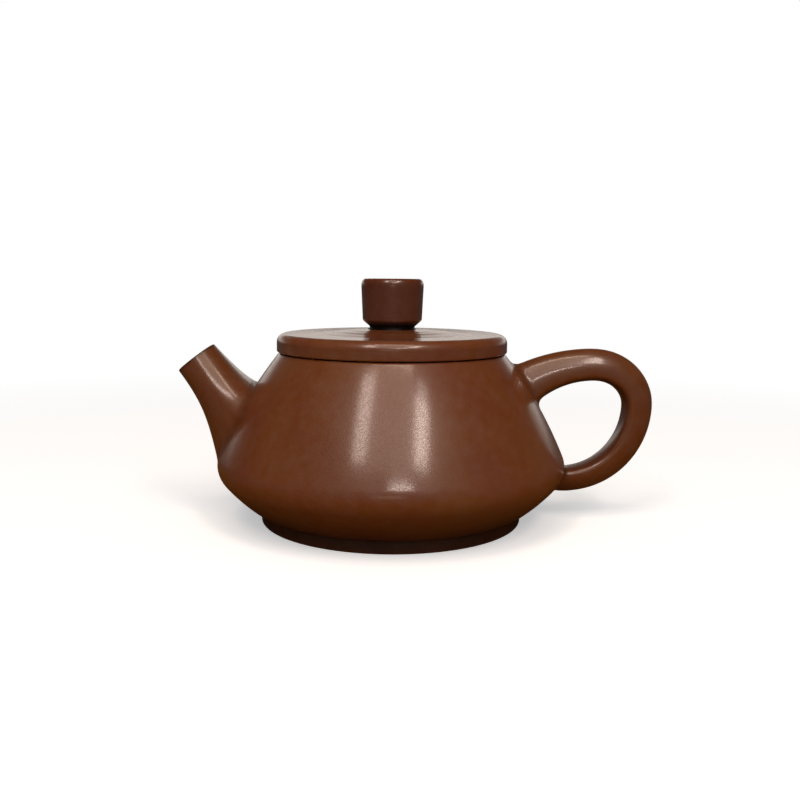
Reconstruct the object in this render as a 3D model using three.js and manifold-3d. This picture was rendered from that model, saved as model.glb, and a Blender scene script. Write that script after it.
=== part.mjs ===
import * as THREE from 'three';
import { mergeVertices } from 'three/addons/utils/BufferGeometryUtils.js';
import Module from 'manifold-3d';

const wasm = await Module();
wasm.setup();

// Side-handled teapot of unglazed brown clay, in millimetres, +Z up, standing on z = 0.
// The spout points along -X and the handle along +X.
// Heights and the radii of turned parts are real sizes; x values run outwards from the pot's axis.

// Body, a turned shell: widest at the belly, narrowing to the rim above and to the base below
const bellyRadius = 51.65;
const bellyHeight = 17.3;
const bellyRound = 7.05;
const rimRadius = 33.4;
const rimHeight = 49.9;
const flankBend = 129.5;
const baseRadius = 40.5;
const undersideBend = 61.5;
const wall = 3.2;
const rimWidth = 6.9;
const mouthRingHeight = 3;

// Foot ring under the base disc
const footHeight = 4.3;
const footRadius = 38.9;
const footWidth = 5;
const footEdge = 0.7;

// Lid, knob and the locating flange under the lid
const seatGap = 0.3;
const lidThickness = 5.6;
const lidCrown = 1;
const lidFlatMargin = 1;
const lidOverhang = 0.6;
const lidTopEdge = 2.6;
const lidLowerEdge = 0.45;
const flangeDepth = 8.5;
const flangeWall = 2.6;
const flangeClearance = 0.5;
const ventRadius = 1.2;
const knobHeight = 14.9;
const knobTopRadius = 9.3;
const knobFootRadius = 8.75;
const knobNeckRadius = 6.65;
const knobNeckFlare = 0.3;
const knobNeckHeight = 0.8;
const knobChamferHeight = 1.9;
const knobTopEdge = 1.65;

// Pierced strainer dome, set in a hole in the wall behind the spout, with rings of round holes:
// the tilt of each ring from the dome's middle, in degrees, and its number of holes
const strainerRise = 13.2;
const strainerRadius = 7.6;
const strainerWall = 1.8;
const strainerInset = 0.8;
const strainerHoleRadius = 0.9;
const strainerRings = [[0, 1], [30, 6], [60, 12]];

// Spout, a short tapering tube that spreads over the flank at its root. Its upper and lower lines
// each bend once, at a turning point measured from where the line meets the body
const spoutReach = 6.73;
const spoutDrop = 1.9;
const spoutMouthTilt = 37.6;
const spoutMouthRadius = 6.5;
const spoutRootHalfWidth = 15.5;
const spoutWidthGrowth = 2.2;
const spoutRootMargin = 2.7;
const lowTurnOut = 1.35;
const lowTurnRise = 10.2;
const highTurnOut = 4.4;
const highTurnRise = 1;
const rootSink = 6;
const rootSinkSpread = 1.2;
const boreMouthRadius = 4.4;
const boreClearance = 0.6;
const boreOverrun = 4;
const boreWidthGrowth = 3;

// Handle, an ear-shaped bar with a flat inner face
const handleReach = 26.45;
const handleRise = 1.75;
const handleSideDrop = 17.15;
const handleCrownOut = 8.5;
const handleFootOut = 0.9;
const handleFootHeight = 8.2;
const handleCrownThickness = 9.45;
const handleSideThickness = 8.4;
const handleFootThickness = 7.4;
const handleHalfWidth = 4.7;
const handleRootHalfWidth = 6.4;
const handleRootGrowth = 2;
const handleTopFall = 6.75;
const handleInnerFall = 10.6;
const handleFlatness = 4.5;
const handleInnerDrop = 0.2;
const handleInnerFootIn = 1;
const handleTopRootIn = 0.6;
const handleTopRootStep = 6;
const handleFootRootIn = 2;
const handleFootRootRise = 0.6;

// Gap kept between a root and the wall that it is luted to
const luteGap = 0.3;

// Corners nearer to each other than this are one corner
const sameCorner = 1e-4;

// Facets around the turned parts, the spout, the handle and the small round parts, and steps
// along the curved stretches of each profile and bar
const turnedSides = 48;
const spoutSides = 28;
const handleSides = 20;
const knobSides = 32;
const strainerSides = 24;
const holeSides = 6;
const undersideSteps = 3;
const bellySteps = 5;
const flankSteps = 5;
const edgeSteps = 3;
const lidEdgeSteps = 5;
const lidCrownSteps = 4;
const domeSteps = 6;
const spoutSteps = 9;
const handleSteps = 9;
const footRootSteps = 2;

const point = (x, y) => new THREE.Vector2(x, y);

// A closed mesh whose shared corners are one vertex each
function closed(geometry) {
  geometry.deleteAttribute('normal');
  geometry.deleteAttribute('uv');
  return mergeVertices(geometry, sameCorner);
}

function toSolid(geometry) {
  const merged = closed(geometry.clone());
  const vertProperties = new Float32Array(merged.attributes.position.array);
  const triVerts = new Uint32Array(merged.index.array);
  return new wasm.Manifold(new wasm.Mesh({ numProp: 3, vertProperties, triVerts }));
}

function toGeometry(solid) {
  const mesh = solid.getMesh();
  const geometry = new THREE.BufferGeometry();
  geometry.setAttribute('position', new THREE.BufferAttribute(mesh.vertProperties, 3));
  geometry.setIndex(new THREE.BufferAttribute(mesh.triVerts, 1));
  return geometry;
}

// A profile of (radius, height) points, outer side upwards, turned about the z axis
function turned(profile, sides) {
  const geometry = new THREE.LatheGeometry(profile, sides);
  geometry.rotateX(Math.PI / 2);
  return closed(geometry);
}

function arcPoints(centre, radius, from, to, steps) {
  const points = [];
  for (let i = 0; i <= steps; i += 1) {
    const angle = from + ((to - from) * i) / steps;
    points.push(point(centre.x + radius * Math.cos(angle), centre.y + radius * Math.sin(angle)));
  }
  return points;
}

// A quarter round between two straight edges of a profile
function corner(x, y, radius, from, steps = edgeSteps) {
  return arcPoints(point(x, y), radius, from, from + Math.PI / 2, steps);
}

// Body line: the belly round, with a flank arc above it and an underside arc below it
const bellyCentre = point(bellyRadius - bellyRound, bellyHeight);

// Centre of the arc that starts at an end point and runs smoothly into the belly round:
// it lies one bend from the end point and one bend less the belly round from the belly's centre
function smoothArc(end, bend) {
  const across = bellyCentre.clone().sub(end);
  const span = across.length();
  const inner = bend - bellyRound;
  const along = (bend * bend - inner * inner + span * span) / (2 * span);
  const aside = Math.sqrt(bend * bend - along * along);
  const direction = across.divideScalar(span);
  const middle = end.clone().addScaledVector(direction, along);
  const sideways = point(-direction.y, direction.x);
  const candidates = [aside, -aside].map((s) => middle.clone().addScaledVector(sideways, s));
  const centre = candidates[0].x < candidates[1].x ? candidates[0] : candidates[1];
  return { centre, bend, joint: bellyCentre.clone().sub(centre).angle() };
}

const signed = (angle) => (angle > Math.PI ? angle - 2 * Math.PI : angle);
const flank = smoothArc(point(rimRadius, rimHeight), flankBend);
const underside = smoothArc(point(baseRadius, footHeight), undersideBend);

function angleAt(arc, inset, height) {
  return Math.asin((height - arc.centre.y) / (arc.bend - inset));
}

// Radius of the body line, moved inwards by inset, at one height
function radiusAt(height, inset) {
  const round = { centre: bellyCentre, bend: bellyRound };
  const upperJoint = bellyHeight + (bellyRound - inset) * Math.sin(signed(flank.joint));
  const lowerJoint = bellyHeight + (bellyRound - inset) * Math.sin(signed(underside.joint));
  let arc = round;
  if (height > upperJoint) arc = flank;
  if (height < lowerJoint) arc = underside;
  return arc.centre.x + (arc.bend - inset) * Math.cos(angleAt(arc, inset, height));
}

// Points of the body line from a low height to a high one
function bodyLine(inset, low, high) {
  const leastStep = 0.4;
  const from = angleAt(underside, inset, footHeight);
  const to = angleAt(flank, inset, rimHeight);
  const line = [
    ...arcPoints(underside.centre, undersideBend - inset, from, signed(underside.joint), undersideSteps),
    ...arcPoints(bellyCentre, bellyRound - inset, signed(underside.joint), signed(flank.joint), bellySteps),
    ...arcPoints(flank.centre, flankBend - inset, signed(flank.joint), to, flankSteps),
  ];
  const between = line.filter((p, i) => p.y > low + leastStep && p.y < high - leastStep
    && (i === 0 || p.distanceTo(line[i - 1]) > leastStep / 2));
  return [point(radiusAt(low, inset), low), ...between, point(radiusAt(high, inset), high)];
}

// Solid of the whole body, grown by the lute gap, that spout and handle roots are cut by
function bodyEnvelope() {
  const line = bodyLine(-luteGap, footHeight, rimHeight);
  return toSolid(turned([point(0, footHeight), ...line, point(0, rimHeight)], turnedSides));
}

// A bar whose cross sections span from a near line to a far line. Section axes: across runs from
// the near line to the far one, and the width lies along y. The shape maps an angle to (across, width).
function barBetween(stations, shape, sides) {
  const bar = new THREE.CylinderGeometry(1, 1, stations.length - 1, sides, stations.length - 1);
  const position = bar.attributes.position;
  for (let i = 0; i < position.count; i += 1) {
    const station = stations[Math.round(position.getY(i) + (stations.length - 1) / 2)];
    const rim = Math.round(Math.hypot(position.getX(i), position.getZ(i)));
    const section = shape(Math.atan2(position.getZ(i), position.getX(i)));
    const across = (1 + rim * section.x) / 2;
    const place = station.near.clone().lerp(station.far, across);
    position.setXYZ(i, place.x, rim * section.y * station.halfWidth, place.y);
  }
  return bar;
}

const roundSection = (angle) => point(Math.cos(angle), Math.sin(angle));

// Half round on the far side, nearly flat on the near side
function flatBackedSection(angle) {
  if (Math.cos(angle) >= 0) return roundSection(angle);
  const power = 2 / handleFlatness;
  const across = -(Math.abs(Math.cos(angle)) ** power);
  return point(across, Math.sign(Math.sin(angle)) * Math.abs(Math.sin(angle)) ** power);
}

// Body pieces, from the ground up
const floorHeight = footHeight + wall;
const wallTop = rimHeight - mouthRingHeight;
const mouthRadius = rimRadius - rimWidth;
const strainerHeight = bellyHeight + strainerRise;

function makeFootRing() {
  const inner = footRadius - footWidth;
  const profile = [
    point(inner + footEdge, 0),
    ...corner(footRadius - footEdge, footEdge, footEdge, -Math.PI / 2),
    point(footRadius, footHeight),
    point(inner, footHeight),
    ...corner(inner + footEdge, footEdge, footEdge, Math.PI),
  ];
  return turned(profile, turnedSides);
}

function makeBaseDisc() {
  const edge = bodyLine(0, footHeight, floorHeight);
  return turned([point(0, footHeight), ...edge, point(0, floorHeight)], turnedSides);
}

function ring(outerLine, innerLine) {
  const profile = [...outerLine, ...innerLine.reverse()];
  return turned([...profile, profile[0].clone()], turnedSides);
}

// Frame of the strainer: its origin on the outer face of the wall, its z axis out of the pot
function strainerPlace() {
  const normal = angleAt(flank, 0, strainerHeight);
  const place = new THREE.Matrix4().makeRotationY(-(Math.PI / 2 - normal));
  place.setPosition(-radiusAt(strainerHeight, 0), 0, strainerHeight);
  return place;
}

function makeBodyWall() {
  const shell = ring(bodyLine(0, floorHeight, wallTop), bodyLine(wall, floorHeight, wallTop));
  const throughWall = 4 * wall;
  const hole = new THREE.CylinderGeometry(1, 1, throughWall, strainerSides);
  hole.scale(strainerRadius + seatGap, 1, strainerRadius + seatGap);
  hole.rotateX(Math.PI / 2);
  hole.applyMatrix4(strainerPlace());
  return toGeometry(toSolid(shell).subtract(toSolid(hole)));
}

function makeMouthRing() {
  const lower = point(radiusAt(wallTop, 0), wallTop);
  const upper = point(rimRadius, rimHeight);
  return ring([lower, upper], [point(mouthRadius, wallTop), point(mouthRadius, rimHeight)]);
}

// A cup: a short tube in the wall's hole, closed by a half sphere that bulges into the pot
function makeStrainer() {
  const centre = point(0, -wall);
  const inner = strainerRadius - strainerWall;
  const profile = [
    ...arcPoints(centre, strainerRadius, -Math.PI / 2, 0, domeSteps),
    point(strainerRadius, -strainerInset),
    point(inner, -strainerInset),
    ...arcPoints(centre, inner, 0, -Math.PI / 2, domeSteps),
  ];
  let strainer = toSolid(turned(profile, strainerSides));
  for (const [tilt, count] of strainerRings) {
    for (let i = 0; i < count; i += 1) {
      strainer = strainer.subtract(toSolid(strainerHole(tilt, (2 * Math.PI * i) / count)));
    }
  }
  const geometry = toGeometry(strainer);
  return geometry.applyMatrix4(strainerPlace());
}

function strainerHole(tilt, turn) {
  const throughDome = 3 * strainerWall;
  const pin = new THREE.CylinderGeometry(strainerHoleRadius, strainerHoleRadius, throughDome, holeSides);
  pin.translate(0, -(strainerRadius - strainerWall / 2), 0);
  pin.rotateX(Math.PI / 2);
  pin.rotateY(THREE.MathUtils.degToRad(tilt));
  pin.rotateZ(turn);
  pin.translate(0, 0, -wall);
  return pin;
}

// Spout
const spoutMouth = point(-(bellyRadius + spoutReach), rimHeight - spoutDrop);
const mouthTilt = THREE.MathUtils.degToRad(spoutMouthTilt);
const mouthChord = point(Math.cos(mouthTilt), Math.sin(mouthTilt));

function spoutStations() {
  const mouthLow = spoutMouth.clone().addScaledVector(mouthChord, -spoutMouthRadius);
  const mouthHigh = spoutMouth.clone().addScaledVector(mouthChord, spoutMouthRadius);
  const rootLow = point(-bellyRadius, bellyHeight);
  const rootHeight = strainerHeight + strainerRadius + spoutRootMargin;
  const rootHigh = point(-radiusAt(rootHeight, 0), rootHeight);
  const lowTurn = point(rootLow.x - lowTurnOut, rootLow.y + lowTurnRise);
  const highTurn = point(rootHigh.x - highTurnOut, rootHigh.y + highTurnRise);
  const lowLine = new THREE.QuadraticBezierCurve(mouthLow, lowTurn, rootLow);
  const highLine = new THREE.QuadraticBezierCurve(mouthHigh, highTurn, rootHigh);
  const stations = [];
  for (let i = 0; i <= spoutSteps; i += 1) {
    const t = i / spoutSteps;
    const spread = (spoutRootHalfWidth - spoutMouthRadius) * t ** spoutWidthGrowth;
    stations.push({
      near: lowLine.getPoint(t), far: highLine.getPoint(t), halfWidth: spoutMouthRadius + spread,
    });
  }
  return [...stations, sunkStation(rootLow, rootHigh)];
}

// The root carried on into the body, so that the cut by the body's surface is a clean one
function sunkStation(rootLow, rootHigh) {
  const chord = rootHigh.clone().sub(rootLow).normalize();
  const inward = point(chord.y, -chord.x).multiplyScalar(rootSink);
  return {
    near: rootLow.clone().add(inward), far: rootHigh.clone().add(inward),
    halfWidth: spoutRootHalfWidth + rootSinkSpread,
  };
}

// The bore widens slowly at first and opens over the strainer
function makeBore() {
  const root = point(-radiusAt(strainerHeight, 0), strainerHeight);
  const axis = root.clone().sub(spoutMouth);
  const length = axis.length();
  const boreRootRadius = strainerRadius + boreClearance;
  const profile = [point(0, -boreOverrun), point(boreMouthRadius, -boreOverrun)];
  for (let i = 0; i <= spoutSteps; i += 1) {
    const t = i / spoutSteps;
    const widening = (boreRootRadius - boreMouthRadius) * t ** boreWidthGrowth;
    profile.push(point(boreMouthRadius + widening, t * length));
  }
  profile.push(point(boreRootRadius, length + boreOverrun), point(0, length + boreOverrun));
  const bore = turned(profile, spoutSides);
  bore.rotateY(Math.PI / 2 - axis.angle());
  return bore.translate(spoutMouth.x, 0, spoutMouth.y);
}

function makeSpout(envelope) {
  const outside = barBetween(spoutStations(), roundSection, spoutSides);
  return toGeometry(toSolid(outside).subtract(toSolid(makeBore())).subtract(envelope));
}

// Handle: each side line is an arc out of the flank, two quarter ellipses and a run to the belly.
// The arc's radius follows from how far it reaches and how far it falls from the crown.
function handleLine(crown, side, foot, fall, reachIn) {
  const reach = crown.x - reachIn;
  const bend = (reach * reach + fall * fall) / (2 * fall);
  const rise = Math.asin(reach / bend);
  const down = side.y - foot.y;
  return [
    new THREE.EllipseCurve(crown.x, crown.y - bend, bend, bend, Math.PI / 2 + rise, Math.PI / 2, true),
    new THREE.EllipseCurve(crown.x, side.y, side.x - crown.x, crown.y - side.y, Math.PI / 2, 0, true),
    new THREE.EllipseCurve(foot.x, side.y, side.x - foot.x, down, 0, -Math.PI / 2, true),
    new THREE.LineCurve(foot, point(baseRadius + handleFootRootIn, foot.y + handleFootRootRise)),
  ];
}

function handleStations() {
  const crown = point(bellyRadius + handleCrownOut, rimHeight + handleRise);
  const side = point(bellyRadius + handleReach, crown.y - handleSideDrop);
  const foot = point(bellyRadius + handleFootOut, handleFootHeight);
  const innerCrown = point(crown.x, crown.y - handleCrownThickness);
  const innerSide = point(side.x - handleSideThickness, side.y - handleInnerDrop);
  const innerFoot = point(foot.x - handleInnerFootIn, foot.y + handleFootThickness);
  const rootIn = rimRadius + handleTopRootIn;
  const outer = handleLine(crown, side, foot, handleTopFall, rootIn);
  const innerRootIn = rootIn + handleTopRootStep;
  const inner = handleLine(innerCrown, innerSide, innerFoot, handleInnerFall, innerRootIn);
  const stations = [];
  outer.forEach((curve, part) => {
    const steps = part === outer.length - 1 ? footRootSteps : handleSteps;
    for (let i = part === 0 ? 0 : 1; i <= steps; i += 1) {
      const t = i / steps;
      const spread = part === 0 ? (handleRootHalfWidth - handleHalfWidth) * (1 - t) ** handleRootGrowth : 0;
      stations.push({
        near: inner[part].getPoint(t), far: curve.getPoint(t), halfWidth: handleHalfWidth + spread,
      });
    }
  });
  return stations;
}

function makeHandle(envelope) {
  const bar = barBetween(handleStations(), flatBackedSection, handleSides);
  return toGeometry(toSolid(bar).subtract(envelope));
}

// Lid pieces, which lift off together
const lidBottom = rimHeight + seatGap;
const lidTop = lidBottom + lidThickness + lidCrown;
const lidRadius = rimRadius + lidOverhang;

// The top is a low dome that rises with the square of the way in, and is flat under the knob
function lidDome() {
  const edge = lidRadius - lidTopEdge;
  const flat = knobNeckRadius + knobNeckFlare + lidFlatMargin;
  const points = [];
  for (let i = 1; i <= lidCrownSteps; i += 1) {
    const share = 1 - i / lidCrownSteps;
    points.push(point(flat + (edge - flat) * share, lidTop - lidCrown * share * share));
  }
  return points;
}

function makeLidPlate() {
  const shoulder = lidTop - lidCrown;
  const profile = [
    point(ventRadius, lidBottom),
    ...corner(lidRadius - lidLowerEdge, lidBottom + lidLowerEdge, lidLowerEdge, -Math.PI / 2),
    ...corner(lidRadius - lidTopEdge, shoulder - lidTopEdge, lidTopEdge, 0, lidEdgeSteps),
    ...lidDome(),
    point(ventRadius, lidTop),
    point(ventRadius, lidBottom),
  ];
  return turned(profile, turnedSides);
}

function makeLidFlange() {
  const outer = mouthRadius - flangeClearance;
  const low = lidBottom - flangeDepth;
  const inner = outer - flangeWall;
  return ring([point(outer, low), point(outer, lidBottom)], [point(inner, low), point(inner, lidBottom)]);
}

function makeKnob() {
  const top = lidTop + knobHeight;
  const chamferBottom = lidTop + knobNeckHeight;
  const profile = [
    point(ventRadius, lidTop),
    point(knobNeckRadius + knobNeckFlare, lidTop),
    point(knobNeckRadius, lidTop + knobNeckHeight / 2),
    point(knobNeckRadius, chamferBottom),
    point(knobFootRadius, chamferBottom + knobChamferHeight),
    ...corner(knobTopRadius - knobTopEdge, top - knobTopEdge, knobTopEdge, 0),
    point(ventRadius, top),
    point(ventRadius, lidTop),
  ];
  return turned(profile, knobSides);
}

// Clay finishes: burnished outside, duller inside
const burnished = { color: 0x6b3a24, roughness: 0.4, metalness: 0 };
const plain = { color: 0x78452f, roughness: 0.75, metalness: 0 };

function addPiece(group, name, geometry, finish) {
  const mesh = new THREE.Mesh(geometry, new THREE.MeshStandardMaterial(finish));
  mesh.name = name;
  group.add(mesh);
}

const envelope = bodyEnvelope();
const pot = new THREE.Group();
addPiece(pot, 'foot_ring', makeFootRing(), burnished);
addPiece(pot, 'base_disc', makeBaseDisc(), burnished);
addPiece(pot, 'body_wall', makeBodyWall(), burnished);
addPiece(pot, 'mouth_ring', makeMouthRing(), burnished);
addPiece(pot, 'spout', makeSpout(envelope), burnished);
addPiece(pot, 'strainer', makeStrainer(), plain);
addPiece(pot, 'handle', makeHandle(envelope), burnished);

const lid = new THREE.Group();
addPiece(lid, 'lid_plate', makeLidPlate(), burnished);
addPiece(lid, 'lid_flange', makeLidFlange(), plain);
addPiece(lid, 'knob', makeKnob(), burnished);

// The origin is on the ground under the middle of the whole length, from spout tip to handle
const teapot = new THREE.Group();
const spoutTip = bellyRadius + spoutReach + spoutMouthRadius * Math.cos(mouthTilt);
teapot.position.x = (spoutTip - (bellyRadius + handleReach)) / 2;
teapot.add(pot, lid);

export default teapot;
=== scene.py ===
import math

import bpy
import numpy as np
from mathutils import Matrix, Vector


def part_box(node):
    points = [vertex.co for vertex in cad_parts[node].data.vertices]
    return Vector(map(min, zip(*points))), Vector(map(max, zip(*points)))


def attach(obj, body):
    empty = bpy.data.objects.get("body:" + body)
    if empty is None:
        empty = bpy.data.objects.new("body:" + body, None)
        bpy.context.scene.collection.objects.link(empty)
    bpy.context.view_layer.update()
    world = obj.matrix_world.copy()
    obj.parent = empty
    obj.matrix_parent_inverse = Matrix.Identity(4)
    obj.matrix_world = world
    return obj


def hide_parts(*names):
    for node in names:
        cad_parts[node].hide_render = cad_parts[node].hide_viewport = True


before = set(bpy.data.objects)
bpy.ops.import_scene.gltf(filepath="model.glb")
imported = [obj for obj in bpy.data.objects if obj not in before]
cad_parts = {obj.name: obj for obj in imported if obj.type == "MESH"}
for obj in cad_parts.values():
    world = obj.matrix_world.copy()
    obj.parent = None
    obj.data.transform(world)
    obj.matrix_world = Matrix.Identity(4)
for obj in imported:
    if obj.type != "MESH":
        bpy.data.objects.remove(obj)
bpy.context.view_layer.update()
print("frame:", len(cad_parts), "nodes")

# Shapes are worked out in millimetres about the pot's turned axis, which stands beside the frame's middle
wallLow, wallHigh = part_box("body_wall")
potAxis = Vector(((wallLow.x + wallHigh.x) / 2, (wallLow.y + wallHigh.y) / 2, 0))
millimetre = 0.001
overlap = 0.05  # how far luted pieces run into each other


# Quadratic curve from start towards corner and on to end, both ends included, for single points or
# for whole rows of them: (1-s)^2 start + 2s(1-s) corner + s^2 end
def bent(start, corner, end, steps=8):
    start, corner, end = (np.asarray(p, float) for p in (start, corner, end))
    s = np.linspace(0, 1, steps + 1).reshape(-1, *[1] * start.ndim)
    return (1 - s) ** 2 * start + 2 * s * (1 - s) * corner + s**2 * end


# Arc of points about a centre, from one angle to another
def arc(centre, radius, start, end, steps):
    angle = np.linspace(start, end, steps + 1)
    return np.array(centre) + radius * np.stack([np.cos(angle), np.sin(angle)], -1)


# A polyline with no step longer than the given one: extra points are spaced evenly on long steps
def refined(points, longest):
    steps = np.hypot(*np.diff(points, axis=0).T)
    counts = np.maximum(np.ceil(steps / longest).astype(int), 1)
    first = np.repeat(np.arange(len(counts)), counts)
    inStep = np.arange(len(first)) - np.repeat(np.cumsum(counts) - counts, counts)
    share = (inStep / counts[first])[:, None]
    between = points[first] * (1 - share) + points[first + 1] * share
    return np.vstack([between, points[-1:]])


# The same for a closed line, whose last point leads back to its first
def refinedRing(points, longest):
    return refined(np.vstack([points, points[:1]]), longest)[:-1]


# Values at fractional places along a table of points, by straight steps between its rows
def along(table, place):
    rows = np.arange(len(table))
    return np.stack([np.interp(place, rows, table[:, k]) for k in range(table.shape[1])], -1)


def unit(vectors):
    return vectors / np.maximum(np.linalg.norm(vectors, axis=-1, keepdims=True), 1e-12)


shell = {
    "bellyRadius": 51.6,
    "bellyHeight": 17.3,
    "bellyRound": 7.05,
    "flankBend": 129.5,
    "rimRadius": 33.34,
    "rimHeight": 50.0,
    "rimEdge": 0.7,
    "undersideBend": 50.0,
    "baseRadius": 40.8,
    "baseHeight": 4.3,
    "baseEdge": 0.6,
    "wall": 3.2,
    "mouthRadius": 26.5,
    "mouthDepth": 3.0,
    "mouthEdge": 0.5,
    "floorRound": 3.0,
    "ledgeRound": 0.8,
    "poleRadius": 4.0,
    "lineSteps": (84, 44),
    "lowShade": (12.0, 7.0, 0.5),  # painted shade, darker below this height, over this much, this strongly
    "around": 288,
}

# Body line: a belly round with a long flank arc above it and an underside arc below, each
# tangent to it. A tangent arc's centre lies one bend from its end point and one bend less the
# belly's radius from the belly's centre.
bellyCentre = np.array([shell["bellyRadius"] - shell["bellyRound"], shell["bellyHeight"]])


def tangentArc(end, bend):
    across = bellyCentre - end
    span = np.hypot(*across)
    inner = bend - shell["bellyRound"]
    reach = (bend**2 - inner**2 + span**2) / (2 * span)
    aside = math.sqrt(bend**2 - reach**2)
    direction = across / span
    sideways = np.array([-direction[1], direction[0]])
    return min((end + direction * reach + sideways * s for s in (aside, -aside)), key=lambda c: c[0])


flankCentre = tangentArc(np.array([shell["rimRadius"], shell["rimHeight"]]), shell["flankBend"])
undersideCentre = tangentArc(np.array([shell["baseRadius"], shell["baseHeight"]]), shell["undersideBend"])


# Radius of the body line at a height, moved inwards by inset: centre + sqrt(bend^2 - height^2) on each arc
def bodyRadius(z, inset=0.0):
    z = np.asarray(z, float)

    def onArc(centre, bend):
        return centre[0] + np.sqrt(np.clip((bend - inset) ** 2 - (z - centre[1]) ** 2, 0, None))

    def joint(centre):
        return bellyCentre[1] + (shell["bellyRound"] - inset) * unit(bellyCentre - centre)[1]

    radius = onArc(bellyCentre, shell["bellyRound"])
    radius = np.where(z < joint(undersideCentre), onArc(undersideCentre, shell["undersideBend"]), radius)
    return np.where(z > joint(flankCentre), onArc(flankCentre, shell["flankBend"]), radius)


# Body line between two heights as (radius, height) points at even steps along its length
def bodyLine(low, high, steps, inset=0.0, fine=1500):
    z = np.linspace(low, high, fine)
    r = bodyRadius(z, inset)
    length = np.concatenate([[0], np.cumsum(np.hypot(np.diff(r), np.diff(z)))])
    evenly = np.linspace(0, length[-1], steps + 1)
    height = np.interp(evenly, length, z)
    return np.stack([bodyRadius(height, inset), height], -1)


# Outward normal of the body at points on it: the radial direction tilted by the line's slope
def bodyNormal(points, probe=0.05):
    z = points[..., 2]
    slope = (bodyRadius(z + probe) - bodyRadius(z - probe)) / (2 * probe)
    radial = points[..., :2] / np.hypot(points[..., 0], points[..., 1])[..., None]
    return unit(np.concatenate([radial, -slope[..., None]], -1))


# Points pulled radially onto the body line, less a depth under its surface
def onBody(points, depth=0.0):
    reach = bodyRadius(points[..., 2]) / np.hypot(points[..., 0], points[..., 1])
    pulled = np.concatenate([points[..., :2] * reach[..., None], points[..., 2:]], -1)
    return pulled - depth * bodyNormal(pulled)


# How far points stand outside the body line, taken at heights between its base and its rim
def outsideBody(points):
    z = np.clip(points[..., 2], shell["baseHeight"], shell["rimHeight"])
    return np.hypot(points[..., 0], points[..., 1]) - bodyRadius(z)


# A profile turned about the axis: x = r cos a, y = r sin a, z = height
def turned(profile, around):
    angle = np.arange(around) * 2 * np.pi / around
    r, z = profile[:, :1], profile[:, 1:]
    return np.stack([r * np.cos(angle), r * np.sin(angle), z + 0 * angle], -1)


# Bending in 1/mm at which a mark begins, and how much more of it makes the mark full
markRanges = {"edge": (0.15, 0.9), "recess": (0.1, 0.8)}


# Convex and concave bending of a grid in 1/mm, from how its two sets of lines turn against its normal
def bending(grid, ring):
    tiny = 1e-9

    def turn(points, axis, wraps):
        forward = np.roll(points, -1, axis) - points
        back = points - np.roll(points, 1, axis)
        forwardLength = np.linalg.norm(forward, axis=-1, keepdims=True)
        backLength = np.linalg.norm(back, axis=-1, keepdims=True)
        change = forward / np.maximum(forwardLength, tiny) - back / np.maximum(backLength, tiny)
        rate = 2 * change / np.maximum(forwardLength + backLength, tiny)
        if not wraps:
            rate[0] = rate[-1] = 0
        return forward + back, rate

    rowWay, rowRate = turn(grid, 0, ring)
    columnWay, columnRate = turn(grid, 1, True)
    if not ring:
        rowWay[0], rowWay[-1] = grid[1] - grid[0], grid[-1] - grid[-2]
    normal = unit(np.cross(columnWay, rowWay))
    rates = np.stack([-(rowRate * normal).sum(-1), -(columnRate * normal).sum(-1)])
    return rates.max(0), (-rates).max(0)


def addObject(name, data):
    made = bpy.data.objects.new(name, data)
    bpy.context.scene.collection.objects.link(made)
    return made


# Quads between rows of point numbers and the rows after them, round all columns
def quadsBetween(lower, upper):
    return np.stack([lower, np.roll(lower, -1, 1), np.roll(upper, -1, 1), upper], -1).reshape(-1, 4)


# Faces of a grid whose rows run along a shape and whose columns close around it. Ring closes the
# rows too. A pole closes an end with a fan. Gives all points and faces, the number of quads, and
# whether the faces had to be turned about so that they enclose a positive volume.
def closedFaces(grid, ring, poles):
    rows, columns = grid.shape[:2]
    number = np.arange(rows * columns).reshape(rows, columns)
    quads = quadsBetween(number, np.roll(number, -1, 0)) if ring else quadsBetween(number[:-1], number[1:])
    points, fans = [grid.reshape(-1, 3)], []
    ends = (np.roll(number[0], -1), number[0]), (number[-1], np.roll(number[-1], -1))
    for pole, (first, second) in zip(poles, ends):
        if pole is not None:
            tip = sum(len(p) for p in points)
            fans.append(np.stack([np.full(columns, tip), first, second], -1))
            points.append(np.array([pole], float))
    points = np.vstack(points)
    soup = points[np.vstack([quads[:, [0, 1, 2]], quads[:, [0, 2, 3]], *fans])]
    volume = np.einsum("ij,ij->i", soup[:, 0], np.cross(soup[:, 1], soup[:, 2])).sum() / 6
    faces = quads.tolist() + [t for fan in fans for t in fan.tolist()]
    if volume < 0:
        faces = [f[::-1] for f in faces]
    return points, faces, len(quads), volume < 0
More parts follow.
